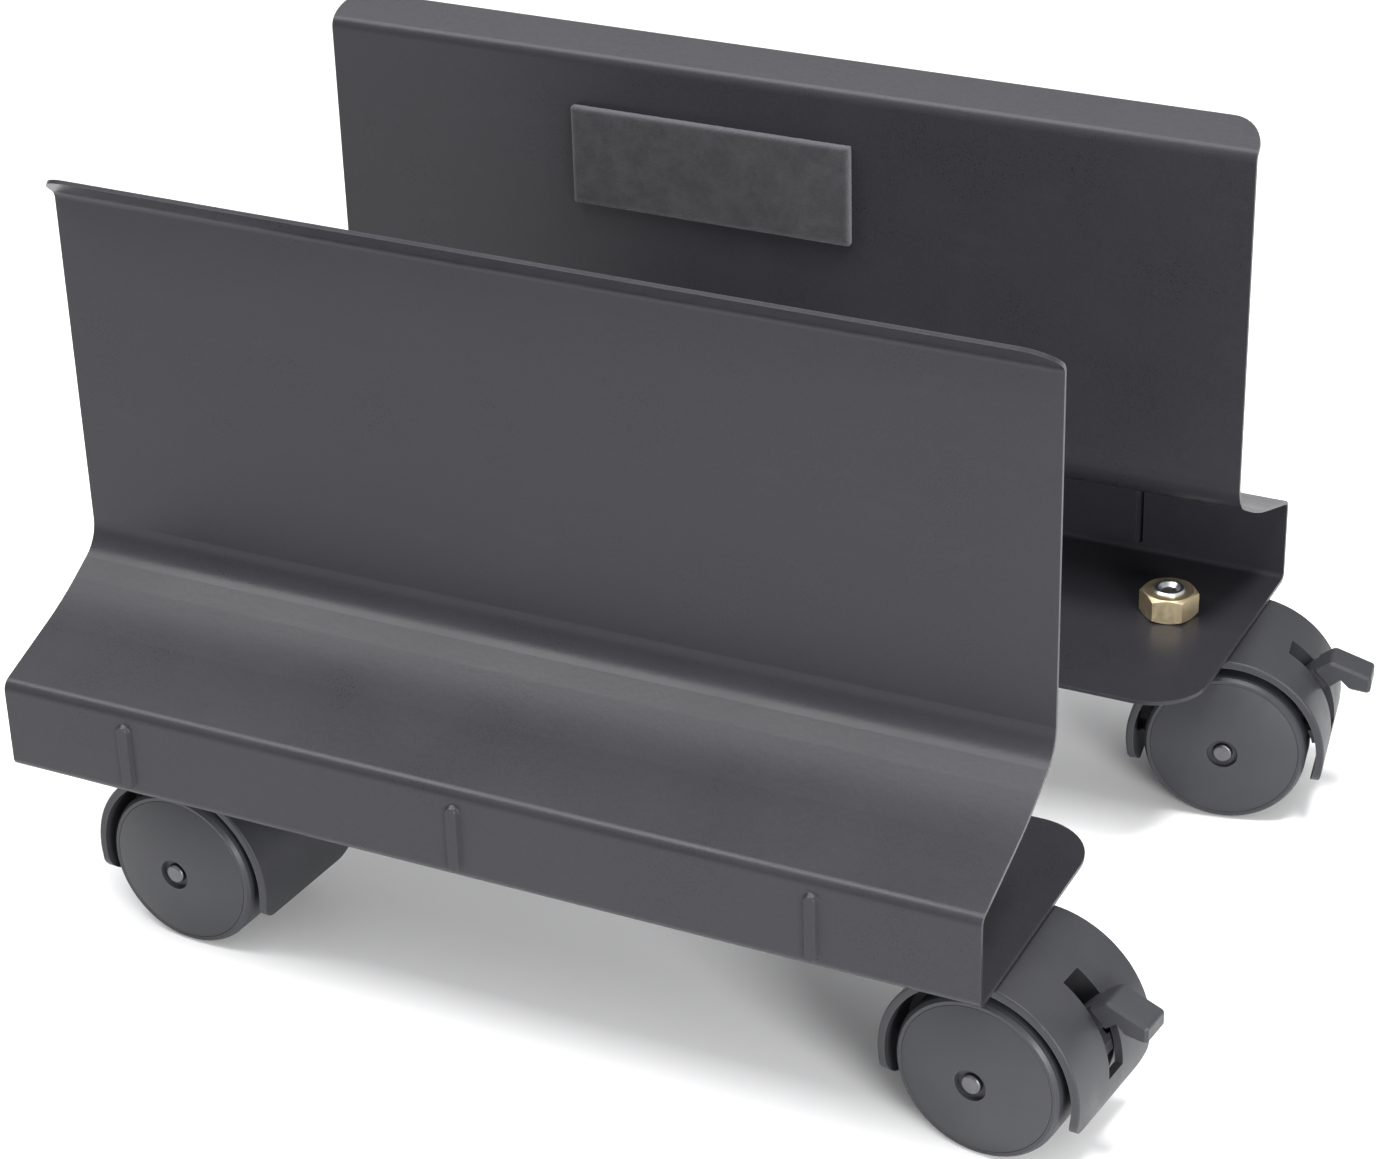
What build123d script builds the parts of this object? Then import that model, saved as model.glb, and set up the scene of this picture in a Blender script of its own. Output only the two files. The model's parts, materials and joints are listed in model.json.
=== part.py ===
from build123d import *
import os
from math import cos, radians, sin

# Rolling CPU holder: two bent steel side panels, joined under the base by two slotted bars,
# stand on four twin-wheel casters. The back panel slides to fit the computer's width.
# Millimetres. +Z up, the panels run along X, the front panel is at -Y.
# The origin is on the floor, under the middle of the whole object's box.

os.makedirs("parts", exist_ok=True)

# ---- side panels: one sheet bent into base plate, outer flange, slope, upright wall and lip ----
PANEL_LENGTH = 305.0
SHEET = 1.2
BASE_BOTTOM = 57.0                      # underside of the base plates above the floor
BASE_TOP = BASE_BOTTOM + SHEET
BASE_MID = BASE_BOTTOM + SHEET / 2
BASE_INNER_Y = 36.0                     # free edge of a base plate
FLANGE_Y = 127.4                        # middle of the flange's sheet
FLANGE_TOP = BASE_BOTTOM + 27.6
WALL_Y = 76.0                           # middle of the upright wall's sheet
WALL_FOOT = BASE_BOTTOM + 50.5
SLOPE_Y = 96.0                          # where the slope flattens a little on its way out
SLOPE_Z = BASE_BOTTOM + 39.0
WALL_TOP = BASE_BOTTOM + 162.0
LIP_OUT = 9.3
LIP_RISE = 7.5
BASE_BEND_R = 2.2
FLANGE_BEND_R = 3.2
SLOPE_BEND_R = 100.0
WALL_BEND_R = 12.0
LIP_BEND_R = 4.0
BASE_CORNER_R = 18.0
LIP_CORNER_R = 10.0

# pressed ribs that stiffen each flange
RIB_COUNT = 3
RIB_SHIFT_X = -3.5
RIB_PITCH = 108.0
RIB_WIDTH = 4.6
RIB_HEIGHT = 21.6
RIB_PRESS = 1.4
RIB_TAPER = 28.0                        # degrees
RIB_GROOVE_WIDTH = 2.2
RIB_Z = BASE_BOTTOM + 13.2

# foam pads on the walls' inner faces
PAD_LENGTH = 94.0
PAD_HEIGHT = 32.0
PAD_THICKNESS = 3.0
PAD_SHIFT_X = -19.5
PAD_TOP = WALL_TOP - 15.0

# ---- slotted link bars under the base, with their fasteners ----
BAR_X = 45.0
BAR_WIDTH = 25.0
BAR_THICKNESS = 3.0
BAR_FRONT_Y = -118.0
BAR_BACK_Y = 97.0
BAR_CORNER_R = 4.0
BAR_BOTTOM = BASE_BOTTOM - BAR_THICKNESS
BAR_BOLT_YS = (-104.0, -52.0)
CLAMP_Y = 48.0
SLIDE_IN = 30.0                         # travel of the back panel towards the front one
SLIDE_OUT = 40.0
M6_D = 6.0
M6_HOLE = 6.4
M6_SLOT = 6.6
M6_HEAD_D = 13.0
M6_HEAD_H = 2.4
M6_HEAD_EDGE_R = 1.9
M6_SOCKET_AF = 4.0
M6_SOCKET_DEPTH = 1.7
M6_NUT_AF = 10.0
M6_NUT_H = 5.0
M6_WASHER_D = 16.0
M6_WASHER_H = 1.2
M6_TIP = 2.0                            # thread that shows past a nut
M6_ROOT_R = 2.5                         # of the thread on that tip
M6_CHAMFER = 0.4
NUT_FACE_SHARE = 0.95                   # width of a nut's round end face over its width across flats
NUT_CONE_SLOPE = 0.58                   # of the cone that cuts a nut's corners

# ---- casters: sizes in height are above the floor, sizes across are from the caster's middle ----
STEM_X = 127.0
STEM_Y = 91.0
TRAIL = 22.0
WHEEL_R = 25.0
AXLE_Z = WHEEL_R
HOOD_R = 30.6
HOOD_INNER_R = 28.2
HOOD_HALF_WIDTH = 22.0
HOOD_EDGE_R = 0.7
SKIRT_DROP = 10.0                       # how far the hood reaches below the axle
SKIRT_CORNER_R = 6.0
WEB_HALF_WIDTH = 8.6
WEB_DROP = 1.0
AXLE_BOSS_R = 6.5
NECK_R = 8.6
NECK_BOTTOM = 19.0
NECK_TOP = BASE_BOTTOM - 1.5
BORE_BOTTOM = 21.0

# M10 stem, the split ring that holds the caster on it, and its nut
STEM_R = 5.0
STEM_FIT = 0.05
STEM_BOTTOM = BORE_BOTTOM + 0.3
STEM_FLANGE_R = 8.0
STEM_FLANGE_BOTTOM = NECK_TOP + 0.2
STEM_HOLE_R = 5.25
STEM_TOP = BASE_TOP + 9.0
STEM_DIMPLE_R = 3.5
STEM_DIMPLE_DEPTH = 1.2
STEM_CHAMFER = 0.5
RING_Z = 30.0
RING_H = 1.2
RING_INNER_R = 4.3
RING_OUTER_R = 6.0
RING_SLACK = 0.3
RING_SPLIT = 2.0
RING_GROOVE_R = 4.2
M10_NUT_AF = 16.0
M10_NUT_H = 8.2
M10_NUT_TURN = 15.0                       # degrees, as tightened
THREAD_FIT = 0.03

# wheels and axle
AXLE_R = 3.0
AXLE_FIT = 0.05
AXLE_HALF_LENGTH = 25.6
AXLE_END_R = 0.8
SNAP_Y = 14.0
SNAP_HALF_WIDTH = 0.5
SNAP_GROOVE = 0.45
SNAP_RIDGE = 0.15
SNAP_SLACK = 0.3
HUB_R = 6.6
HUB_INNER_Y = 9.0
TREAD_INNER_Y = 9.6
TREAD_CHAMFER = 0.7
TREAD_OUTER_Y = 20.4
RIM_Y = 22.4
RIM_OUTER_R = 23.9
RIM_INNER_R = 22.9
RIM_GROOVE = 0.2
RIM_BULGE = 0.25
DOME_Y = 25.6
DOME_MID_Y = 24.6                       # the dome's height half way out to the rim
HUB_RECESS_R = 4.8
HUB_RECESS_DEPTH = 1.6
DRUM_R = 21.6                           # inner radius of the tread's ring
DISC_Y = 19.0                           # inner face of the wheel's disc
WHEEL_RIBS = 6
WHEEL_RIB_THICKNESS = 1.4
WHEEL_RIB_INNER_Y = 12.0
WHEEL_RIB_ROOT = 0.3                    # how far a rib runs into the hub and the tread's ring

# brake lever of the two right-hand casters, sizes taken from the axle's centre
PIVOT_X = 18.5
PIVOT_Z = 9.0
PIVOT_PIN_R = 1.5
PIVOT_FIT = 0.06
LEVER_HUB_R = 3.6
LEVER_HALF_WIDTH = 3.5
LEVER_REACH = 41.8
PEDAL_HALF_WIDTH = 5.5
ARM_TOP = [(15.6, 11.2), (22.6, 19.8)]
PEDAL_BACK = (24.8, 21.46)
PEDAL_FACE = [(29.5, 25.0), (LEVER_REACH, 20.6), (LEVER_REACH, 15.2), (36.0, 15.9), (32.6, 19.2)]
PEDAL_FRONT = (29.6, 16.64)
PEDAL_BEND_R = 2.2
PEDAL_TIP_R = 1.3
PEDAL_BEVEL = 0.8
SHOE_LIMB = [(27.2, 14.6), (24.0, 9.6), (27.2, 7.0), (26.6, 3.2), (24.6, 2.6), (18.6, 5.4)]
BRAKE_TRAVEL = 11.0                     # degrees that the pedal goes down
SLOT_HALF_WIDTH = 4.1
SLOT_INNER_R = 12.0
SLOT_LOW_ANGLE = -1.0
SLOT_HIGH_ANGLE = 58.0
SHOE_HALF_WIDTH = 18.0
SHOE_GAP = 0.15                         # left between the shoe and the treads when pressed
SHOE_THICKNESS = 1.2
SHOE_LOW_ANGLE = 4.0
SHOE_HIGH_ANGLE = 14.0
SHOE_ROOM_R = 24.0
SHOE_ROOM_LOW_ANGLE = -6.0
SHOE_ROOM_HIGH_ANGLE = 30.0

# each caster: side along X, side along Y, swivel angle at rest in degrees
CASTERS = {
    "front_left": (-1, -1, -4.0),
    "front_right": (1, -1, -6.0),
    "back_left": (-1, 1, 0.0),
    "back_right": (1, 1, 10.0),
}


def lever_tip_reach(turn):
    """How far the tip of a swivelled brake lever reaches past its stem, along X."""
    half_tip = PEDAL_HALF_WIDTH - PEDAL_BEVEL
    return (TRAIL + LEVER_REACH) * cos(radians(turn)) + half_tip * sin(radians(abs(turn)))


# The brake levers reach past the panels' right end, so the panels stand left of the origin.
RIGHT_REACH = STEM_X + max(lever_tip_reach(turn) for side_x, _, turn in CASTERS.values() if side_x > 0)
PANEL_X = -(RIGHT_REACH - PANEL_LENGTH / 2) / 2


def save(piece, name):
    """Label a finished piece and write its STEP file."""
    piece.part.label = name
    export_step(piece.part, f"parts/{name}.step")


# ---------------------------------------------------------------- side panels and pads
def side_panel(side):
    """One bent side panel; side is -1 for the front one and +1 for the back one."""
    points = [
        (side * BASE_INNER_Y, BASE_MID),
        (side * FLANGE_Y, BASE_MID),
        (side * FLANGE_Y, FLANGE_TOP),
        (side * SLOPE_Y, SLOPE_Z),
        (side * WALL_Y, WALL_FOOT),
        (side * WALL_Y, WALL_TOP),
        (side * (WALL_Y + LIP_OUT), WALL_TOP + LIP_RISE),
    ]
    bends = [BASE_BEND_R, FLANGE_BEND_R, SLOPE_BEND_R, WALL_BEND_R, LIP_BEND_R]
    outer_face = Plane(
        origin=(PANEL_X + RIB_SHIFT_X, side * (FLANGE_Y + SHEET / 2), RIB_Z),
        x_dir=(1, 0, 0),
        z_dir=(0, side, 0),
    )
    inner_face = outer_face.offset(-SHEET)
    with BuildPart() as panel:
        with BuildSketch(Plane.YZ.offset(PANEL_X - PANEL_LENGTH / 2)):
            with BuildLine():
                FilletPolyline(*points, radius=bends)
            trace(line_width=SHEET)
        extrude(amount=PANEL_LENGTH)
        # corners of the sheet: two on the base plate, two on the lip
        corners = panel.edges().filter_by(lambda edge: abs(edge.length - SHEET) < 0.01).sort_by(Axis.Z)
        fillet(corners[:2], radius=BASE_CORNER_R)
        corners = panel.edges().filter_by(lambda edge: abs(edge.length - SHEET) < 0.01).sort_by(Axis.Z)
        fillet(corners[-2:], radius=LIP_CORNER_R)
        # ribs pressed outwards, with their hollows on the inside
        with BuildSketch(outer_face):
            with GridLocations(RIB_PITCH, 0, RIB_COUNT, 1):
                SlotOverall(RIB_HEIGHT, RIB_WIDTH, rotation=90)
        extrude(amount=RIB_PRESS, taper=RIB_TAPER)
        with BuildSketch(inner_face):
            with GridLocations(RIB_PITCH, 0, RIB_COUNT, 1):
                SlotOverall(RIB_HEIGHT - (RIB_WIDTH - RIB_GROOVE_WIDTH), RIB_GROOVE_WIDTH, rotation=90)
        extrude(amount=RIB_PRESS, mode=Mode.SUBTRACT)
        # holes for the caster stems and the bar's bolts
        with BuildSketch(Plane.XY.offset(BASE_BOTTOM)):
            with Locations((PANEL_X, side * STEM_Y)):
                with GridLocations(2 * STEM_X, 0, 2, 1):
                    Circle(STEM_HOLE_R)
            for bolt_y in (BAR_BOLT_YS if side < 0 else (CLAMP_Y,)):
                with Locations((PANEL_X, bolt_y)):
                    with GridLocations(2 * BAR_X, 0, 2, 1):
                        Circle(M6_HOLE / 2)
        extrude(amount=SHEET, mode=Mode.SUBTRACT)
    return panel


def foam_pad(side):
    """Plain block of foam that is stuck on a wall's inner face."""
    face_y = side * (WALL_Y - SHEET / 2)
    with BuildPart() as pad:
        with BuildSketch(
            Plane(
                origin=(PANEL_X + PAD_SHIFT_X, face_y, PAD_TOP - PAD_HEIGHT / 2),
                x_dir=(1, 0, 0),
                z_dir=(0, -side, 0),
            )
        ):
            Rectangle(PAD_LENGTH, PAD_HEIGHT)
        extrude(amount=PAD_THICKNESS)
    return pad


# ---------------------------------------------------------------- link bars and M6 fasteners
def link_bar(side_x):
    """Flat bar under the base: bolted to the front panel, slotted for the back panel's clamp."""
    slot_start = CLAMP_Y - SLIDE_IN
    slot_end = CLAMP_Y + SLIDE_OUT
    bar_x = PANEL_X + side_x * BAR_X
    with BuildPart() as bar:
        with BuildSketch(Plane.XY.offset(BAR_BOTTOM)):
            with Locations((bar_x, (BAR_FRONT_Y + BAR_BACK_Y) / 2)):
                RectangleRounded(BAR_WIDTH, BAR_BACK_Y - BAR_FRONT_Y, BAR_CORNER_R)
            with Locations((bar_x, (slot_start + slot_end) / 2)):
                SlotCenterToCenter(slot_end - slot_start, M6_SLOT, rotation=90, mode=Mode.SUBTRACT)
            with Locations(*[(bar_x, bolt_y) for bolt_y in BAR_BOLT_YS]):
                Circle(M6_HOLE / 2, mode=Mode.SUBTRACT)
        extrude(amount=BAR_THICKNESS)
    return bar


def bar_places(ys):
    """Places of the fasteners on both bars, for the given distances along Y."""
    return [(PANEL_X + side_x * BAR_X, y) for side_x in (-1, 1) for y in ys]


def low_bolts(places, washer):
    """Low-headed M6 bolts that stand head up through the base plate and the bar."""
    nut_bottom = BAR_BOTTOM - washer - M6_NUT_H
    with BuildPart() as bolts:
        with BuildSketch(Plane.XY.offset(nut_bottom - M6_TIP)):
            with Locations(*places):
                Circle(M6_ROOT_R)
        extrude(amount=M6_TIP)
        chamfer(bolts.edges().group_by(Axis.Z)[0], length=M6_CHAMFER)
        with BuildSketch(Plane.XY.offset(nut_bottom)):
            with Locations(*places):
                Circle(M6_D / 2)
        extrude(amount=BASE_TOP + M6_HEAD_H / 2 - nut_bottom)
        with BuildSketch(Plane.XY.offset(BASE_TOP)):
            with Locations(*places):
                Circle(M6_HEAD_D / 2)
        extrude(amount=M6_HEAD_H)
        fillet(bolts.edges().group_by(Axis.Z)[-1], radius=M6_HEAD_EDGE_R)
        with BuildSketch(Plane.XY.offset(BASE_TOP + M6_HEAD_H)):
            with Locations(*places):
                RegularPolygon(radius=M6_SOCKET_AF / 2, side_count=6, major_radius=False)
        extrude(amount=-M6_SOCKET_DEPTH, mode=Mode.SUBTRACT)
    return bolts


def hex_nuts(places, bottom, height, across_flats, bore_r, turn=0.0):
    """Hexagon nuts, turned on their bolts, with their corners cut to a cone at both ends."""
    corner_r = across_flats / 3**0.5
    face_r = across_flats / 2 * NUT_FACE_SHARE
    cone = (corner_r - face_r) * NUT_CONE_SLOPE
    with BuildPart() as nuts:
        for x, y in places:
            with BuildSketch(Plane.XZ.offset(-y)):
                with BuildLine():
                    Polyline(
                        (x, bottom),
                        (x + face_r, bottom),
                        (x + corner_r, bottom + cone),
                        (x + corner_r, bottom + height - cone),
                        (x + face_r, bottom + height),
                        (x, bottom + height),
                        close=True,
                    )
                make_face()
            revolve(axis=Axis((x, y, 0), (0, 0, 1)))
        with BuildSketch(Plane.XY.offset(bottom)):
            with Locations(*places):
                RegularPolygon(radius=across_flats / 2, side_count=6, major_radius=False, rotation=turn)
                Circle(bore_r, mode=Mode.SUBTRACT)
        extrude(amount=height, mode=Mode.INTERSECT)
    return nuts


def flat_washers(places, bottom):
    """Washers between the clamp nuts and the bars."""
    with BuildPart() as washers:
        with BuildSketch(Plane.XY.offset(bottom)):
            with Locations(*places):
                Circle(M6_WASHER_D / 2)
                Circle(M6_HOLE / 2, mode=Mode.SUBTRACT)
        extrude(amount=M6_WASHER_H)
    return washers


# ---------------------------------------------------------------- casters
def caster_plane(name):
    """Floor plane of a caster: origin under its stem, X pointing to its axle."""
    side_x, side_y, turn = CASTERS[name]
    return Plane(
        origin=(PANEL_X + side_x * STEM_X, side_y * STEM_Y, 0),
        x_dir=(cos(radians(turn)), sin(radians(turn)), 0),
        z_dir=(0, 0, 1),
    )


def axle_centre(base):
    """Middle of a caster's axle."""
    return base.origin + base.x_dir * TRAIL + base.z_dir * AXLE_Z


def side_view(base, across=0.0):
    """Upright plane along the caster, centred on the axle; it faces the caster's -Y side."""
    return Plane(origin=axle_centre(base) + base.y_dir * across, x_dir=base.x_dir, z_dir=-base.y_dir)


def axle_view(base):
    """Upright plane along the axle, centred on it: across the caster, and up."""
    return Plane(origin=axle_centre(base), x_dir=base.y_dir, z_dir=base.x_dir)


def sector(inner_r, outer_r, low_angle, high_angle, centre=(0, 0)):
    """Ring sector around the given centre, drawn in the sketch that is open."""
    with BuildLine() as outline:
        inner = CenterArc(centre, inner_r, low_angle, high_angle - low_angle)
        outer = CenterArc(centre, outer_r, low_angle, high_angle - low_angle)
        Line(inner @ 0, outer @ 0)
        Line(inner @ 1, outer @ 1)
    make_face(outline.edges())


def housing(base, braked):
    """Nylon hood over both wheels, with a web between them and a neck for the stem."""
    across_all = 2 * HOOD_HALF_WIDTH
    with BuildPart() as body:
        # drum-shaped hood, cut off below the axle, with rounded lower corners
        with BuildSketch(side_view(base)):
            Circle(HOOD_R)
        extrude(amount=HOOD_HALF_WIDTH, both=True)
        fillet(body.edges().filter_by(GeomType.CIRCLE), radius=HOOD_EDGE_R)
        with BuildSketch(axle_view(base)):
            with Locations((0, HOOD_R - SKIRT_DROP)):
                skirt = Rectangle(across_all, 2 * HOOD_R)
            fillet(skirt.vertices().group_by(Axis.Y)[0], radius=SKIRT_CORNER_R)
        extrude(amount=HOOD_R, both=True, mode=Mode.INTERSECT)
        # rooms of the two wheels
        for side in (-1, 1):
            with BuildSketch(side_view(base, side * WEB_HALF_WIDTH)):
                Circle(HOOD_INNER_R)
            extrude(amount=-side * HOOD_HALF_WIDTH, mode=Mode.SUBTRACT)
        # the web ends just below the axle, except for the axle's boss
        with BuildSketch(side_view(base)):
            Circle(HOOD_INNER_R)
            with Locations((0, HOOD_R - WEB_DROP)):
                Rectangle(2 * HOOD_R, 2 * HOOD_R, mode=Mode.SUBTRACT)
            Circle(AXLE_BOSS_R, mode=Mode.SUBTRACT)
        extrude(amount=WEB_HALF_WIDTH, both=True, mode=Mode.SUBTRACT)
        # neck, with the stem's bore and the pocket of its ring
        with BuildSketch(base.offset(NECK_BOTTOM)):
            Circle(NECK_R)
        extrude(amount=NECK_TOP - NECK_BOTTOM)
        with BuildSketch(base.offset(BORE_BOTTOM)):
            Circle(STEM_R + STEM_FIT)
        extrude(amount=NECK_TOP - BORE_BOTTOM, mode=Mode.SUBTRACT)
        with BuildSketch(base.offset(RING_Z - RING_SLACK)):
            Circle(RING_OUTER_R + RING_SLACK)
        extrude(amount=RING_H + 2 * RING_SLACK, mode=Mode.SUBTRACT)
        # bore of the axle
        with BuildSketch(side_view(base)):
            Circle(AXLE_R)
        extrude(amount=WEB_HALF_WIDTH, both=True, mode=Mode.SUBTRACT)
        if braked:
            # slot of the lever, room of its shoe, and the holes of its pin
            with BuildSketch(side_view(base)):
                sector(SLOT_INNER_R, HOOD_R + 1, SLOT_LOW_ANGLE, SLOT_HIGH_ANGLE)
            extrude(amount=SLOT_HALF_WIDTH, both=True, mode=Mode.SUBTRACT)
            with BuildSketch(side_view(base)):
                sector(SHOE_ROOM_R, HOOD_INNER_R, SHOE_ROOM_LOW_ANGLE, SHOE_ROOM_HIGH_ANGLE)
            extrude(amount=WEB_HALF_WIDTH, both=True, mode=Mode.SUBTRACT)
            with BuildSketch(side_view(base)):
                with Locations((PIVOT_X, PIVOT_Z)):
                    Circle(PIVOT_PIN_R)
            extrude(amount=WEB_HALF_WIDTH, both=True, mode=Mode.SUBTRACT)
    return body


def stem(base):
    """M10 stem: plain in the caster's neck, a flange under the base plate, threaded above."""
    groove_bottom = RING_Z - RING_SLACK / 2
    groove_top = RING_Z + RING_H + RING_SLACK / 2
    with BuildPart() as pin:
        with BuildSketch(Plane(origin=base.origin, x_dir=base.x_dir, z_dir=-base.y_dir)):
            with BuildLine():
                Polyline(
                    (0, STEM_BOTTOM),
                    (STEM_R - STEM_CHAMFER, STEM_BOTTOM),
                    (STEM_R, STEM_BOTTOM + STEM_CHAMFER),
                    (STEM_R, groove_bottom),
                    (RING_GROOVE_R, groove_bottom),
                    (RING_GROOVE_R, groove_top),
                    (STEM_R, groove_top),
                    (STEM_R, STEM_FLANGE_BOTTOM),
                    (STEM_FLANGE_R, STEM_FLANGE_BOTTOM),
                    (STEM_FLANGE_R, BASE_BOTTOM),
                    (STEM_R, BASE_BOTTOM),
                    (STEM_R, STEM_TOP - STEM_CHAMFER),
                    (STEM_R - STEM_CHAMFER, STEM_TOP),
                    (STEM_DIMPLE_R, STEM_TOP),
                    (STEM_DIMPLE_R - STEM_DIMPLE_DEPTH, STEM_TOP - STEM_DIMPLE_DEPTH),
                    (0, STEM_TOP - STEM_DIMPLE_DEPTH),
                    close=True,
                )
            make_face()
        revolve(axis=Axis(base.origin, base.z_dir))
    return pin


def stem_ring(base):
    """Split ring in the stem's groove, which keeps the caster from dropping off."""
    with BuildPart() as ring:
        with BuildSketch(base.offset(RING_Z)):
            Circle(RING_OUTER_R)
            Circle(RING_INNER_R, mode=Mode.SUBTRACT)
            with Locations((RING_OUTER_R, 0)):
                Rectangle(2 * RING_OUTER_R, RING_SPLIT, mode=Mode.SUBTRACT)
        extrude(amount=RING_H)
    return ring


def axle(base):
    """Steel axle with rounded ends and a groove for each wheel's snap ridge."""
    groove = SNAP_HALF_WIDTH + SNAP_SLACK
    with BuildPart() as rod:
        with BuildSketch(side_view(base)):
            Circle(AXLE_R)
        extrude(amount=AXLE_HALF_LENGTH, both=True)
        fillet(rod.edges().filter_by(GeomType.CIRCLE), radius=AXLE_END_R)
        for side in (-1, 1):
            with BuildSketch(side_view(base, side * (SNAP_Y - groove))):
                Circle(AXLE_R)
                Circle(AXLE_R - SNAP_GROOVE, mode=Mode.SUBTRACT)
            extrude(amount=-side * 2 * groove, mode=Mode.SUBTRACT)
    return rod


def wheel(base, side):
    """One nylon wheel with a domed face; side is the side of the caster that it runs on."""
    bore_r = AXLE_R + AXLE_FIT
    ridge_r = AXLE_R - SNAP_RIDGE
    dome_edge_r = RIM_INNER_R - RIM_GROOVE
    dome_mid_r = (dome_edge_r + HUB_RECESS_R) / 2
    with BuildPart() as disc:
        with BuildSketch(axle_view(base)):
            with BuildLine():
                dome = ThreePointArc(
                    (side * RIM_Y, dome_edge_r),
                    (side * DOME_MID_Y, dome_mid_r),
                    (side * DOME_Y, HUB_RECESS_R),
                )
                Polyline(
                    dome @ 1,
                    (side * (DOME_Y - HUB_RECESS_DEPTH), HUB_RECESS_R),
                    (side * (DOME_Y - HUB_RECESS_DEPTH), bore_r),
                    (side * (SNAP_Y + SNAP_HALF_WIDTH), bore_r),
                    (side * (SNAP_Y + SNAP_HALF_WIDTH - SNAP_RIDGE), ridge_r),
                    (side * (SNAP_Y - SNAP_HALF_WIDTH + SNAP_RIDGE), ridge_r),
                    (side * (SNAP_Y - SNAP_HALF_WIDTH), bore_r),
                    (side * HUB_INNER_Y, bore_r),
                    (side * HUB_INNER_Y, HUB_R),
                    (side * DISC_Y, HUB_R),
                    (side * DISC_Y, DRUM_R),
                    (side * TREAD_INNER_Y, DRUM_R),
                    (side * TREAD_INNER_Y, WHEEL_R - TREAD_CHAMFER),
                    (side * (TREAD_INNER_Y + TREAD_CHAMFER), WHEEL_R),
                    (side * TREAD_OUTER_Y, WHEEL_R),
                    (side * (TREAD_OUTER_Y + RIM_Y) / 2, (WHEEL_R + RIM_OUTER_R) / 2 + RIM_BULGE),
                    (side * RIM_Y, RIM_OUTER_R),
                    (side * RIM_Y, RIM_INNER_R),
                    (side * (RIM_Y - RIM_GROOVE), RIM_INNER_R - RIM_GROOVE / 2),
                    dome @ 0,
                )
            make_face()
        revolve(axis=Axis(axle_centre(base), base.y_dir))
        with BuildSketch(side_view(base, side * WHEEL_RIB_INNER_Y)):
            with PolarLocations((HUB_R + DRUM_R) / 2, WHEEL_RIBS):
                Rectangle(DRUM_R - HUB_R + 2 * WHEEL_RIB_ROOT, WHEEL_RIB_THICKNESS)
        extrude(amount=-side * (DISC_Y - WHEEL_RIB_INNER_Y))
    return disc


def runs_across(edge, view, corner):
    """Whether an edge of the pedal runs across the caster at a corner of the lever's outline."""
    middle = view.to_local_coords(edge.center())
    at_corner = abs(middle.X - corner[0]) < 0.01 and abs(middle.Y - corner[1]) < 0.01
    return at_corner and abs(edge.length - 2 * PEDAL_HALF_WIDTH) < 0.01


def is_upper_rim(edge, view, chord):
    """Whether an edge lies in one of the pedal's two sides, above the chord of its outline."""
    middle = view.to_local_coords(edge.center())
    (start_x, start_z), (end_x, end_z) = chord
    above = (end_x - start_x) * (middle.Y - start_z) > (end_z - start_z) * (middle.X - start_x)
    return above and abs(abs(middle.Z) - PEDAL_HALF_WIDTH) < 0.01


def brake_lever(base):
    """Foot lever: a pedal outside the hood, and a shoe that presses both treads from inside."""
    # the shoe fits the treads when the pedal is down, so its arcs are centred off the axle at rest
    turn = radians(BRAKE_TRAVEL)
    arc_centre = (
        PIVOT_X - PIVOT_X * cos(turn) + PIVOT_Z * sin(turn),
        PIVOT_Z - PIVOT_X * sin(turn) - PIVOT_Z * cos(turn),
    )
    shoe_r = WHEEL_R + SHOE_GAP
    with BuildPart() as lever:
        # arm through the slot, and the limb that carries the shoe
        with BuildSketch(side_view(base)):
            with Locations((PIVOT_X, PIVOT_Z)):
                Circle(LEVER_HUB_R)
            with BuildLine():
                Polyline(*ARM_TOP, *PEDAL_FACE, *SHOE_LIMB, close=True)
            make_face()
        extrude(amount=LEVER_HALF_WIDTH, both=True)
        # wider pedal
        with BuildSketch(side_view(base)):
            with BuildLine():
                Polyline(PEDAL_BACK, *PEDAL_FACE, PEDAL_FRONT, close=True)
            make_face()
        extrude(amount=PEDAL_HALF_WIDTH, both=True)
        # rounded bend and tip, and bevels along the pedal's upper rims
        view = side_view(base)
        bend, tip_top, tip_bottom = PEDAL_FACE[:3]
        for corner, radius in ((bend, PEDAL_BEND_R), (tip_top, PEDAL_TIP_R), (tip_bottom, PEDAL_TIP_R)):
            fillet(lever.edges().filter_by(lambda edge: runs_across(edge, view, corner)), radius=radius)
        chord = (PEDAL_BACK, tip_bottom)
        chamfer(lever.edges().filter_by(lambda edge: is_upper_rim(edge, view, chord)), length=PEDAL_BEVEL)
        with BuildSketch(side_view(base)):
            sector(
                shoe_r, shoe_r + SHOE_THICKNESS, SHOE_LOW_ANGLE + BRAKE_TRAVEL,
                SHOE_HIGH_ANGLE + BRAKE_TRAVEL, arc_centre,
            )
        extrude(amount=SHOE_HALF_WIDTH, both=True)
        with BuildSketch(side_view(base)):
            with Locations((PIVOT_X, PIVOT_Z)):
                Circle(PIVOT_PIN_R + PIVOT_FIT)
        extrude(amount=LEVER_HALF_WIDTH, both=True, mode=Mode.SUBTRACT)
    return lever


def lever_pin(base):
    """Steel pin that the brake lever turns on, held in the web's two cheeks."""
    with BuildPart() as pin:
        with BuildSketch(side_view(base)):
            with Locations((PIVOT_X, PIVOT_Z)):
                Circle(PIVOT_PIN_R)
        extrude(amount=WEB_HALF_WIDTH, both=True)
    return pin


# ---------------------------------------------------------------- the whole object
save(side_panel(-1), "front_side_panel")
save(side_panel(1), "back_side_panel")
save(foam_pad(-1), "front_foam_pad")
save(foam_pad(1), "back_foam_pad")

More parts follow.
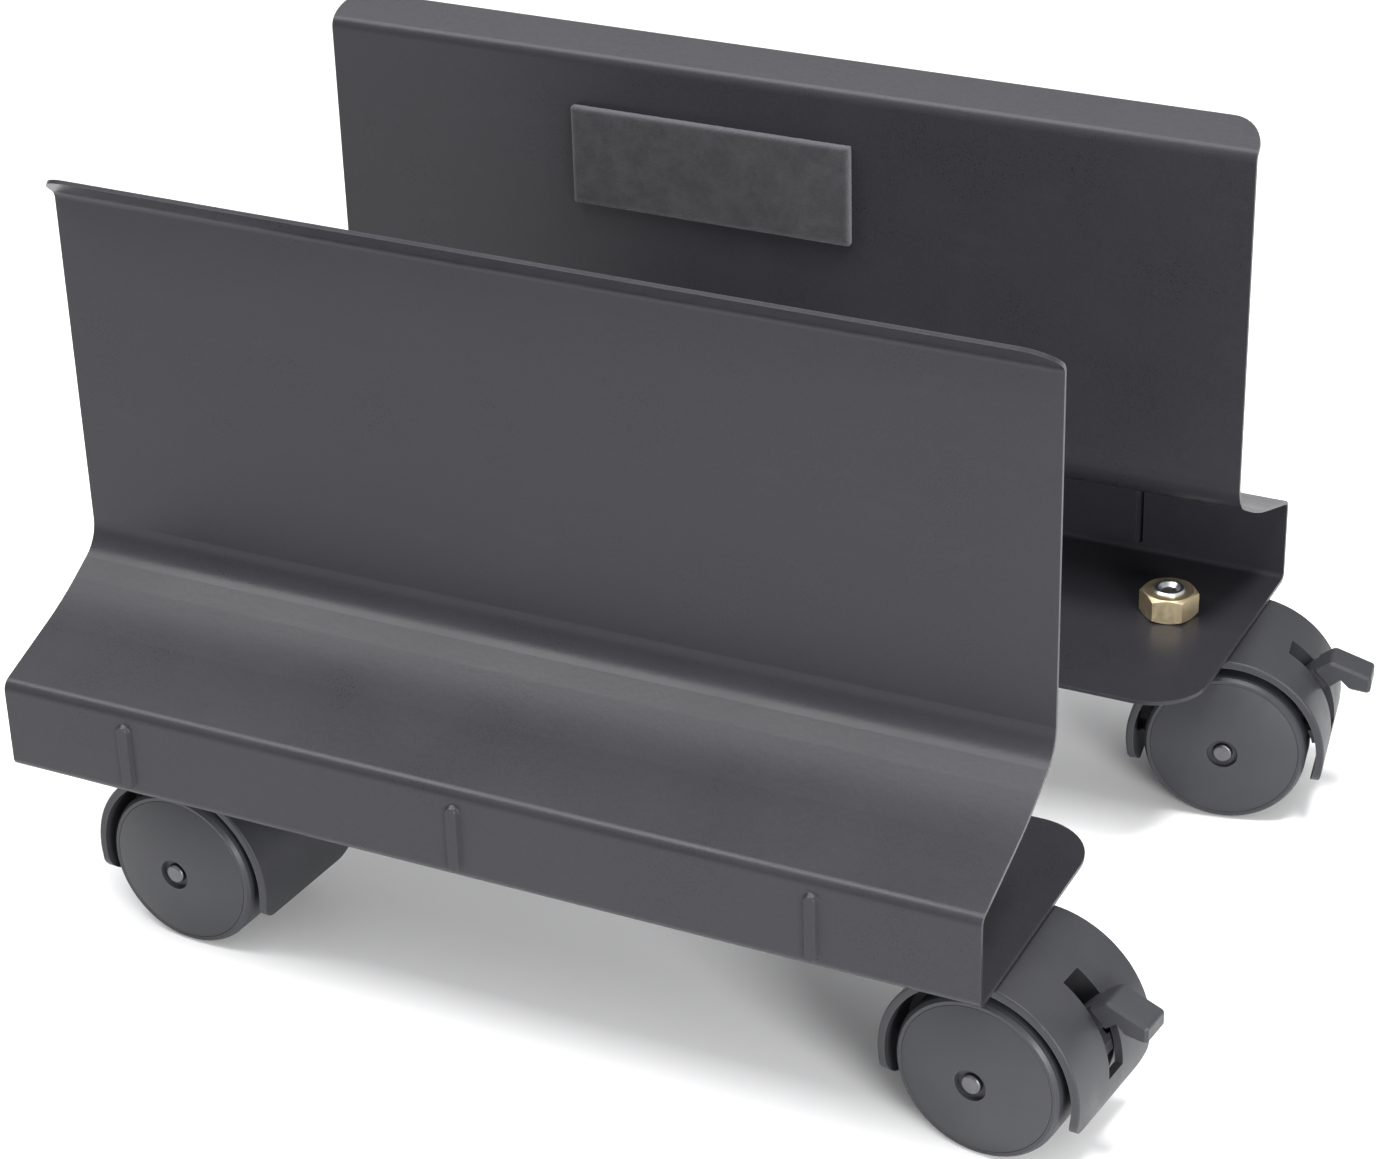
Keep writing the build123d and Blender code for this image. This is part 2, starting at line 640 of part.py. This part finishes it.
save(link_bar(-1), "left_link_bar")
save(link_bar(1), "right_link_bar")
fixed_places = bar_places(BAR_BOLT_YS)
clamp_places = bar_places((CLAMP_Y,))
save(low_bolts(fixed_places, 0), "bar_bolts")
bar_nut_bottom = BAR_BOTTOM - M6_NUT_H
clamp_nut_bottom = bar_nut_bottom - M6_WASHER_H
m6_nut_bore = M6_D / 2 + THREAD_FIT
save(hex_nuts(fixed_places, bar_nut_bottom, M6_NUT_H, M6_NUT_AF, m6_nut_bore), "bar_nuts")
save(low_bolts(clamp_places, M6_WASHER_H), "clamp_bolts")
save(flat_washers(clamp_places, BAR_BOTTOM - M6_WASHER_H), "clamp_washers")
save(hex_nuts(clamp_places, clamp_nut_bottom, M6_NUT_H, M6_NUT_AF, m6_nut_bore), "clamp_nuts")

for caster, (side_x, side_y, _) in CASTERS.items():
    base = caster_plane(caster)
    braked = side_x > 0
    stem_place = (base.origin.X, base.origin.Y)
    stem_nut = hex_nuts([stem_place], BASE_TOP, M10_NUT_H, M10_NUT_AF, STEM_R + THREAD_FIT, M10_NUT_TURN)
    save(housing(base, braked), f"{caster}_housing")
    save(stem(base), f"{caster}_stem")
    save(stem_ring(base), f"{caster}_stem_ring")
    save(stem_nut, f"{caster}_stem_nut")
    save(axle(base), f"{caster}_axle")
    save(wheel(base, side_y), f"{caster}_outer_wheel")
    save(wheel(base, -side_y), f"{caster}_inner_wheel")
    if braked:
        save(brake_lever(base), f"{caster}_brake_lever")
        save(lever_pin(base), f"{caster}_lever_pin")
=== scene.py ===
import json
import math

import bmesh
import bpy
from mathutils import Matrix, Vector
from mathutils import noise as mathnoise

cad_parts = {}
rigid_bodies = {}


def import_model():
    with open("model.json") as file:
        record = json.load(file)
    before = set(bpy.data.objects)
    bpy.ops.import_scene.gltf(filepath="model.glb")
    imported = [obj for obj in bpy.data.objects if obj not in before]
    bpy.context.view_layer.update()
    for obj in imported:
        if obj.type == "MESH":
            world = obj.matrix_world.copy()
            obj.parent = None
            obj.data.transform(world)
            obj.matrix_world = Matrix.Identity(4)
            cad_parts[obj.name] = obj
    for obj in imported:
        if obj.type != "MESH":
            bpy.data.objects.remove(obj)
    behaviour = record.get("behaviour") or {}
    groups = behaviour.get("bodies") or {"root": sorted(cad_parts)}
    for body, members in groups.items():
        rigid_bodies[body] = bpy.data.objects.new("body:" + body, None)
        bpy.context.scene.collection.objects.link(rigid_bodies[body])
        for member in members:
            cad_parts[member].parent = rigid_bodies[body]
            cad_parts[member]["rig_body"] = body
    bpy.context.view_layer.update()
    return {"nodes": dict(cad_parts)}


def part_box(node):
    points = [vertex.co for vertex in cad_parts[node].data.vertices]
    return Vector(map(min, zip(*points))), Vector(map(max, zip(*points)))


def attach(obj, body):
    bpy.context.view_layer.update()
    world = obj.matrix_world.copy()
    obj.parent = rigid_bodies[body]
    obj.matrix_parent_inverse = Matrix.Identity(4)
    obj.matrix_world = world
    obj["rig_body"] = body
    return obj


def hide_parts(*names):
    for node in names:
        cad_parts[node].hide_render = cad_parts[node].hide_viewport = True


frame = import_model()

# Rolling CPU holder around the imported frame: two bent steel side panels on four twin-wheel casters.
# Metres, +Z up. The panels run along X, and the front panel is at -Y.

MM = 0.001
NODES = frame["nodes"]
SCENE = bpy.context.scene
CASTERS = ("front_left", "front_right", "back_left", "back_right")
BRAKED = ("front_right", "back_right")


# ---------------------------------------------------------------- camera
CAMERA_PLACE = (0.41221, -0.83642, 0.59837)
CAMERA_ANGLES = (61.512, 1.561, 26.054)     # degrees
CAMERA_LENS = 92.75                         # mm, on a 36 mm sensor

camera_data = bpy.data.cameras.new("camera")
camera_data.lens = CAMERA_LENS
camera_data.sensor_width = 36.0
camera = bpy.data.objects.new("camera", camera_data)
camera.location = CAMERA_PLACE
camera.rotation_euler = [math.radians(angle) for angle in CAMERA_ANGLES]
SCENE.collection.objects.link(camera)
SCENE.camera = camera


# ---------------------------------------------------------------- material helpers
class Nodes:
    """A material's node tree with short calls for the nodes that the materials below share."""

    def __init__(self, name):
        self.material = bpy.data.materials.new(name)
        self.material.use_nodes = True
        self.tree = self.material.node_tree
        self.shader = self.tree.nodes["Principled BSDF"]
        self.place = self.add("ShaderNodeTexCoord").outputs["Object"]

    def add(self, kind, **settings):
        node = self.tree.nodes.new(kind)
        for key, value in settings.items():
            setattr(node, key, value)
        return node

    def link(self, source, target):
        self.tree.links.new(source, target)

    def feed(self, value, socket):
        """Links a socket, or sets a number or colour."""
        if isinstance(value, bpy.types.NodeSocket):
            self.link(value, socket)
        else:
            socket.default_value = value

    def noise(self, size, detail=3.0, roughness=0.55, stretch=(1, 1, 1), distortion=0.0):
        """Noise with features about size across, in metres."""
        mapping = self.add("ShaderNodeMapping")
        mapping.inputs["Scale"].default_value = [1 / part for part in stretch]
        self.link(self.place, mapping.inputs["Vector"])
        texture = self.add("ShaderNodeTexNoise")
        texture.inputs["Scale"].default_value = 1 / size
        texture.inputs["Detail"].default_value = detail
        texture.inputs["Roughness"].default_value = roughness
        texture.inputs["Distortion"].default_value = distortion
        self.link(mapping.outputs["Vector"], texture.inputs["Vector"])
        return texture.outputs["Fac"]

    def cells(self, size, feature="F1"):
        """Distance in a pattern of cells about size across, in metres."""
        texture = self.add("ShaderNodeTexVoronoi", feature=feature)
        texture.inputs["Scale"].default_value = 1 / size
        self.link(self.place, texture.inputs["Vector"])
        return texture.outputs["Distance"]

    def ramp(self, value, low, high, from_low=0.0, from_high=1.0):
        """Maps value from one range to another, clamped."""
        node = self.add("ShaderNodeMapRange")
        node.inputs["From Min"].default_value = from_low
        node.inputs["From Max"].default_value = from_high
        node.inputs["To Min"].default_value = low
        node.inputs["To Max"].default_value = high
        self.link(value, node.inputs["Value"])
        return node.outputs["Result"]

    def maths(self, operation, first, second=0.0):
        node = self.add("ShaderNodeMath", operation=operation)
        self.feed(first, node.inputs[0])
        self.feed(second, node.inputs[1])
        return node.outputs[0]

    def mix(self, share, first, second):
        """Mixes two colours."""
        node = self.add("ShaderNodeMix", data_type="RGBA")
        self.feed(share, node.inputs["Factor"])
        for value, socket in ((first, node.inputs[6]), (second, node.inputs[7])):
            self.feed(value if isinstance(value, bpy.types.NodeSocket) else (*value, 1.0), socket)
        return node.outputs[2]

    def edges(self, radius):
        """1 along convex and concave edges within radius, 0 elsewhere."""
        bevel = self.add("ShaderNodeBevel", samples=6)
        bevel.inputs["Radius"].default_value = radius
        normal = self.add("ShaderNodeNewGeometry").outputs["Normal"]
        dot = self.add("ShaderNodeVectorMath", operation="DOT_PRODUCT")
        self.link(bevel.outputs["Normal"], dot.inputs[0])
        self.link(normal, dot.inputs[1])
        return self.ramp(dot.outputs["Value"], 1.0, 0.0, 0.75, 0.995)

    def bump(self, height, depth, previous=None, strength=1.0):
        """Bump of the given depth in metres, on top of a previous bump."""
        node = self.add("ShaderNodeBump")
        node.inputs["Strength"].default_value = strength
        node.inputs["Distance"].default_value = depth
        self.link(height, node.inputs["Height"])
        if previous is not None:
            self.link(previous, node.inputs["Normal"])
        return node.outputs["Normal"]

    def finish(self, colour, roughness, normal=None, **fixed):
        """Feeds the shader, sets its fixed values and returns the material."""
        self.link(colour, self.shader.inputs["Base Color"])
        self.link(roughness, self.shader.inputs["Roughness"])
        if normal is not None:
            self.link(normal, self.shader.inputs["Normal"])
        for key, value in fixed.items():
            self.shader.inputs[key.replace("_", " ")].default_value = value
        return self.material


def shade(colour, factor):
    return tuple(part * factor for part in colour)


# ---------------------------------------------------------------- materials
def powder_coat():
    """Satin charcoal powder coat on steel: orange peel, fine grain and a painted highlight along the
    edges.
    """
    n = Nodes("powder_coat")
    base = (0.0195, 0.0191, 0.0226)
    grain = n.noise(0.45 * MM, detail=4.0, roughness=0.65)
    cloud = n.noise(38 * MM, detail=3.0)
    peel = n.noise(1.7 * MM, detail=2.0)
    rub = n.noise(9 * MM, detail=5.0, roughness=0.7, stretch=(3.2, 1, 1))
    colour = n.mix(n.ramp(grain, 0.0, 1.0, 0.3, 0.7), shade(base, 0.80), shade(base, 1.20))
    colour = n.mix(n.ramp(cloud, 0.0, 0.30, 0.35, 0.7), colour, shade(base, 1.30))
    colour = n.mix(n.ramp(rub, 0.0, 0.22, 0.60, 0.78), colour, shade(base, 1.9))
    # painted highlight: colour lightened along convex and concave edges to stand in for the edges' shine
    colour = n.mix(n.maths("MULTIPLY", n.edges(0.9 * MM), 0.30), colour, shade(base, 2.6))
    roughness = n.ramp(cloud, 0.29, 0.36, 0.3, 0.7)
    roughness = n.maths("ADD", roughness, n.ramp(grain, -0.05, 0.05, 0.3, 0.7))
    normal = n.bump(peel, 0.045 * MM, strength=0.7)
    normal = n.bump(grain, 0.030 * MM, previous=normal, strength=0.6)
    return n.finish(colour, roughness, normal, Specular_IOR_Level=0.22)


def moulded_nylon(name, base, texture_size, texture_depth, smooth, painted_edge_highlight):
    """Moulded nylon: eroded mould texture, soft flow marks, smoother edges and a painted highlight along
    the edges.
    """
    n = Nodes(name)
    texture = n.noise(texture_size, detail=3.0, roughness=0.6)
    flow = n.noise(14 * MM, detail=3.0, distortion=0.8)
    speck = n.cells(0.8 * MM)
    edge = n.edges(0.7 * MM)
    colour = n.mix(n.ramp(texture, 0.0, 1.0, 0.3, 0.7), shade(base, 0.86), shade(base, 1.14))
    colour = n.mix(n.ramp(flow, 0.0, 0.35, 0.35, 0.7), colour, shade(base, 1.32))
    colour = n.mix(n.ramp(speck, 0.12, 0.0, 0.0, 0.35), colour, shade(base, 1.6))
    # painted highlight: colour lightened along convex and concave edges
    colour = n.mix(n.maths("MULTIPLY", edge, painted_edge_highlight), colour, shade(base, 2.4))
    roughness = n.ramp(flow, smooth - 0.05, smooth + 0.05, 0.3, 0.7)
    roughness = n.maths("SUBTRACT", roughness, n.maths("MULTIPLY", edge, 0.08))
    normal = n.bump(texture, texture_depth, strength=0.7)
    return n.finish(colour, roughness, normal, Specular_IOR_Level=0.25)


def zinc(name, base, tint, smooth):
    """Zinc plating: mottled crystals, a faint tinted passivation, fine drawn marks and a painted
    highlight along the edges.
    """
    n = Nodes(name)
    mottle = n.noise(1.6 * MM, detail=4.0, roughness=0.65)
    film = n.noise(4.5 * MM, detail=2.0, distortion=1.5)
    marks = n.noise(0.35 * MM, detail=3.0, stretch=(1, 1, 7))
    colour = n.mix(n.ramp(mottle, 0.0, 1.0, 0.3, 0.7), shade(base, 0.93), shade(base, 1.04))
    colour = n.mix(n.ramp(film, 0.0, 0.45, 0.42, 0.65), colour, tint)
    # painted highlight: colour lightened along convex and concave edges
    colour = n.mix(n.maths("MULTIPLY", n.edges(0.5 * MM), 0.35), colour, shade(base, 1.12))
    roughness = n.ramp(mottle, smooth - 0.04, smooth + 0.06, 0.3, 0.7)
    normal = n.bump(marks, 0.020 * MM, strength=0.5)
    return n.finish(colour, roughness, normal, Metallic=1.0)


def foam():
    """Closed-cell foam: pores, soft nap that catches light, and a painted highlight along the pad's rims
    and thin sides.
    """
    n = Nodes("foam")
    base = (0.0145, 0.0145, 0.0163)
    pores = n.cells(0.60 * MM)
    fine = n.noise(0.35 * MM, detail=3.0, roughness=0.7)
    cloud = n.noise(5.0 * MM, detail=6.0, roughness=0.68)
    rim_highlight = n.add("ShaderNodeAttribute", attribute_name="rim_nibble_and_highlight").outputs["Fac"]
    colour = n.mix(n.ramp(pores, 0.0, 1.0, 0.05, 0.45), shade(base, 0.72), shade(base, 1.15))
    colour = n.mix(n.ramp(cloud, 0.0, 0.85, 0.38, 0.66), colour, shade(base, 2.1))
    # painted highlight: colour lightened along the pad's rims and over its thin sides
    colour = n.mix(n.maths("MULTIPLY", rim_highlight, n.ramp(fine, 0.35, 0.95, 0.3, 0.7)), colour, shade(base, 5.0))
    roughness = n.ramp(fine, 0.88, 1.0, 0.3, 0.7)
    normal = n.bump(pores, 0.16 * MM, strength=0.8)
    normal = n.bump(fine, 0.10 * MM, previous=normal, strength=0.6)
    return n.finish(
        colour, roughness, normal, Specular_IOR_Level=0.15, Sheen_Weight=0.12, Sheen_Roughness=0.6
    )


def floor_paint():
    """Plain pale studio floor with a very faint grain."""
    n = Nodes("floor_paint")
    grain = n.noise(25 * MM, detail=2.0)
    colour = n.mix(grain, (0.85, 0.85, 0.855), (0.87, 0.87, 0.875))
    return n.finish(colour, n.ramp(grain, 0.80, 0.90), Specular_IOR_Level=0.1)


MATERIALS = {
    "panel_steel": powder_coat(),
    "pad_foam": foam(),
    "caster_nylon": moulded_nylon(
        "hood_nylon",
        base=(0.025, 0.0253, 0.0285),
        texture_size=0.35 * MM,
        texture_depth=0.030 * MM,
        smooth=0.44,
        painted_edge_highlight=0.35,
    ),
    "wheel_nylon": moulded_nylon(
        "wheel_nylon_satin",
        base=(0.028, 0.0284, 0.032),
        texture_size=0.28 * MM,
        texture_depth=0.015 * MM,
        smooth=0.42,
        painted_edge_highlight=0.30,
    ),
    "zinc_yellow": zinc("zinc_yellow_plate", (0.86, 0.72, 0.46), (0.80, 0.64, 0.44), 0.42),
    "zinc_steel": zinc("zinc_bright_plate", (0.72, 0.73, 0.75), (0.62, 0.66, 0.74), 0.30),
    "axle_steel": zinc("oiled_steel", (0.115, 0.115, 0.12), (0.08, 0.08, 0.085), 0.40),
}
for node in NODES.values():
    for holder in node.material_slots:
        holder.material = MATERIALS[holder.material.name.split(".")[0]]


# ---------------------------------------------------------------- foam pads
PAD_EDGE = 0.6 * MM                 # radius of the cut edges
PAD_GRID = (150, 6, 52)             # faces along the length, the thickness and the height
PAD_RIM = 1.5 * MM                  # width of the band along the cut edges that is nibbled and carries the painted highlight
PAD_SINK = 0.16 * MM                # mean depth of the free face's unevenness
PAD_WAVE = 0.14 * MM
PAD_WAVES_A_METRE = 70.0
PAD_NIBBLE = 0.10 * MM              # how far the cutter nibbled the rims
PAD_NIBBLES_A_METRE = 900.0


def box_side(mesh, half, axis, side):
    """Adds one side of a box as a grid of faces."""
    first, second = [k for k in range(3) if k != axis]
    rows = []
    for i in range(PAD_GRID[first] + 1):
        row = []
        for j in range(PAD_GRID[second] + 1):
            place = [0.0, 0.0, 0.0]
            place[axis] = side * half[axis]
            place[first] = (2 * i / PAD_GRID[first] - 1) * half[first]
            place[second] = (2 * j / PAD_GRID[second] - 1) * half[second]
            row.append(mesh.verts.new(place))
        rows.append(row)
    for i in range(PAD_GRID[first]):
        for j in range(PAD_GRID[second]):
            mesh.faces.new((rows[i][j], rows[i + 1][j], rows[i + 1][j + 1], rows[i][j + 1]))


def shape_pad(mesh, half, inward):
    """Rounds a pad's edges towards an inner box, waves its free face and marks the band along its cut
    edges, which is nibbled and gets the painted highlight.
    """
    mask = mesh.verts.layers.float.new("rim_nibble_and_highlight")
    for vert in mesh.verts:
        core = Vector([max(PAD_EDGE - half[k], min(half[k] - PAD_EDGE, vert.co[k])) for k in range(3)])
        outward = vert.co - core
        if outward.length > 1e-9:
            vert.co = core + outward.normalized() * min(PAD_EDGE, outward.length)
        rim = min(half.x - abs(vert.co.x), half.z - abs(vert.co.z))
        vert[mask] = max(0.0, 1.0 - rim / PAD_RIM)
        wave = mathnoise.noise(Vector((vert.co.x, vert.co.z, 0.37 * inward)) * PAD_WAVES_A_METRE)
        nibble = mathnoise.noise(vert.co * PAD_NIBBLES_A_METRE)
        if vert.co.y * inward > 0:
            vert.co.y -= inward * (PAD_SINK + PAD_WAVE * wave)
        shrink = PAD_NIBBLE * (1 + nibble) * vert[mask]
        vert.co.x -= math.copysign(shrink, vert.co.x)
        vert.co.z -= math.copysign(shrink, vert.co.z)


def rounded_pad(name, node, inward, body):
    """Foam pad in its CAD solid's place; inward is the side of its free face along Y."""
    low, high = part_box(node)
    half = (high - low) / 2
    mesh = bmesh.new()
    for axis in range(3):
        for side in (-1, 1):
            box_side(mesh, half, axis, side)
    bmesh.ops.remove_doubles(mesh, verts=mesh.verts, dist=0.01 * MM)
    bmesh.ops.recalc_face_normals(mesh, faces=mesh.faces)
    shape_pad(mesh, half, inward)
    bmesh.ops.translate(mesh, verts=mesh.verts, vec=(low + high) / 2)
    data = bpy.data.meshes.new(name)
    mesh.to_mesh(data)
    mesh.free()
    for polygon in data.polygons:
        polygon.use_smooth = True
    data.materials.append(MATERIALS["pad_foam"])
    pad = bpy.data.objects.new(name, data)
    SCENE.collection.objects.link(pad)
    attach(pad, body)
    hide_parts(node)


rounded_pad("front_pad_foam", "front_foam_pad", 1, "front_frame")
rounded_pad("back_pad_foam", "back_foam_pad", -1, "back_frame")


# ---------------------------------------------------------------- softened edges on the CAD parts
def soften(node, width, angle=32.0):
    """Rounds the sharp edges of a CAD node with modifiers; its own mesh stays as imported."""
    weld = node.modifiers.new("weld", "WELD")
    weld.merge_threshold = 0.0005 * MM
    plane = node.modifiers.new("planes", "DECIMATE")
    plane.decimate_type = "DISSOLVE"
    plane.angle_limit = math.radians(0.2)
    bevel = node.modifiers.new("soft_edges", "BEVEL")
    bevel.limit_method = "ANGLE"
    bevel.angle_limit = math.radians(angle)
    bevel.width = width
    bevel.segments = 2
    bevel.harden_normals = True
    bevel.use_clamp_overlap = True
    normals = node.modifiers.new("face_normals", "WEIGHTED_NORMAL")
    normals.mode = "FACE_AREA_WITH_ANGLE"
    normals.keep_sharp = True


for side in ("front", "back"):
    soften(NODES[f"{side}_side_panel"], 0.22 * MM)
for name in ("left_link_bar", "right_link_bar"):
    soften(NODES[name], 0.25 * MM)
for caster in CASTERS:
    soften(NODES[f"{caster}_housing"], 0.25 * MM, angle=40.0)
for caster in BRAKED:
    soften(NODES[f"{caster}_brake_lever"], 0.25 * MM)


# ---------------------------------------------------------------- threads on the bolts' tips
M6_HEAD_R = 6.5 * MM
M6_ROOT_R = 2.5 * MM
M6_CREST_R = 2.98 * MM
M6_PITCH = 1.0 * MM
M6_TIP = 2.0 * MM
STEPS_A_TURN = 40
THREAD_FLANK = 0.42                 # half widths of the ridge's foot and crest, over the pitch
THREAD_LAND = 0.07
THREAD_ROOT_SINK = 0.05 * MM        # how far the ridge's foot runs into the bolt
THREAD_CHAMFER = 0.25 * MM          # bare end of the bolt below the thread
RUN_OUT_TURNS = 0.35


def helix_ridge(mesh, centre, bottom, top, pitch, root_r, crest_r):
    """Adds one thread's ridge between two heights; it runs out to nothing at both ends."""
    flank = THREAD_FLANK * pitch
    land = THREAD_LAND * pitch
    foot_r = root_r - THREAD_ROOT_SINK
    turns = (top - bottom - 2 * flank) / pitch
    steps = int(turns * STEPS_A_TURN)
    rings = []
    for step in range(steps + 1):
        angle = 2 * math.pi * step / STEPS_A_TURN
        middle = bottom + flank + pitch * step / STEPS_A_TURN
        from_end = min(step, steps - step) / STEPS_A_TURN
        crest = root_r + (crest_r - root_r) * min(1.0, 0.05 + from_end / RUN_OUT_TURNS)
        section = ((foot_r, -flank), (crest, -land), (crest, land), (foot_r, flank))
        rings.append([
            mesh.verts.new((
                centre[0] + radius * math.cos(angle),
                centre[1] + radius * math.sin(angle),
                middle + offset,
            ))
            for radius, offset in section
        ])
    for first, second in zip(rings, rings[1:]):
        for k in range(4):
            mesh.faces.new((first[k], second[k], second[(k + 1) % 4], first[(k + 1) % 4]))
    mesh.faces.new(rings[0])
    mesh.faces.new(rings[-1][::-1])


def bolt_threads(name, node):
    """Threads on the tips of a node's bolts, which stand at the corners of its box."""
    low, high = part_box(node)
    xs = (low.x + M6_HEAD_R, high.x - M6_HEAD_R)
    ys = sorted({round(low.y + M6_HEAD_R, 6), round(high.y - M6_HEAD_R, 6)})
    mesh = bmesh.new()
    for x in xs:
        for y in ys:
            bottom, top = low.z + THREAD_CHAMFER, low.z + M6_TIP
            helix_ridge(mesh, (x, y), bottom, top, M6_PITCH, M6_ROOT_R, M6_CREST_R)
    bmesh.ops.recalc_face_normals(mesh, faces=mesh.faces)
    data = bpy.data.meshes.new(name)
    mesh.to_mesh(data)
    mesh.free()
    data.materials.append(MATERIALS["zinc_steel"])
    threads = bpy.data.objects.new(name, data)
    SCENE.collection.objects.link(threads)
    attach(threads, NODES[node]["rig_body"])


bolt_threads("bar_bolt_threads", "bar_bolts")
bolt_threads("clamp_bolt_threads", "clamp_bolts")


# ---------------------------------------------------------------- floor and lights
def area_light(name, place, aim, size, energy):
    """Rectangular softbox at place, turned towards aim."""
    data = bpy.data.lights.new(name, "AREA")
    data.shape = "RECTANGLE"
    data.size, data.size_y = size
    data.energy = energy
    lamp = bpy.data.objects.new(name, data)
    lamp.location = place
    lamp.rotation_euler = (Vector(aim) - Vector(place)).to_track_quat("-Z", "Y").to_euler()
    SCENE.collection.objects.link(lamp)


FLOOR_HALF = 6.0
HORIZON_LIGHT = 0.16
ZENITH_LIGHT = 1.36
BACKDROP_LIGHT = 0.92               # what shows behind the floor
floor_mesh = bpy.data.meshes.new("floor")
floor_mesh.from_pydata(
    [(x * FLOOR_HALF, y * FLOOR_HALF, 0.0) for x, y in ((-1, -1), (1, -1), (1, 1), (-1, 1))],
    [],
    [(0, 1, 2, 3)],
)
floor_mesh.materials.append(floor_paint())
floor = bpy.data.objects.new("floor", floor_mesh)
SCENE.collection.objects.link(floor)

world = bpy.data.worlds.new("studio")
world.use_nodes = True
sky = world.node_tree
background = sky.nodes["Background"]
background.inputs["Color"].default_value = (0.99, 0.995, 1.0, 1.0)
direction = sky.nodes.new("ShaderNodeTexCoord")
parts = sky.nodes.new("ShaderNodeSeparateXYZ")
height = sky.nodes.new("ShaderNodeMapRange")
height.inputs["To Min"].default_value = HORIZON_LIGHT
height.inputs["To Max"].default_value = ZENITH_LIGHT
sky.links.new(direction.outputs["Generated"], parts.inputs["Vector"])
sky.links.new(parts.outputs["Z"], height.inputs["Value"])
backdrop = sky.nodes.new("ShaderNodeMix")
backdrop.data_type = "FLOAT"
backdrop.inputs[3].default_value = BACKDROP_LIGHT
ray = sky.nodes.new("ShaderNodeLightPath")
sky.links.new(ray.outputs["Is Camera Ray"], backdrop.inputs[0])
sky.links.new(height.outputs["Result"], backdrop.inputs[2])
sky.links.new(backdrop.outputs[0], background.inputs["Strength"])
SCENE.world = world

area_light("overhead_front", (-0.45, -0.32, 1.00), (-0.45, -0.32, 0.0), (0.9, 0.44), 11.5)
area_light("inside_fill", (0.36, -0.06, 0.95), (0.11, 0.05, 0.06), (0.25, 0.16), 8.5)
area_light("channel_fill", (0.95, -0.80, 0.36), (0.08, 0.05, 0.10), (0.4, 0.4), 17.0)

SCENE.view_settings.view_transform = "Standard"
SCENE.view_settings.look = "None"
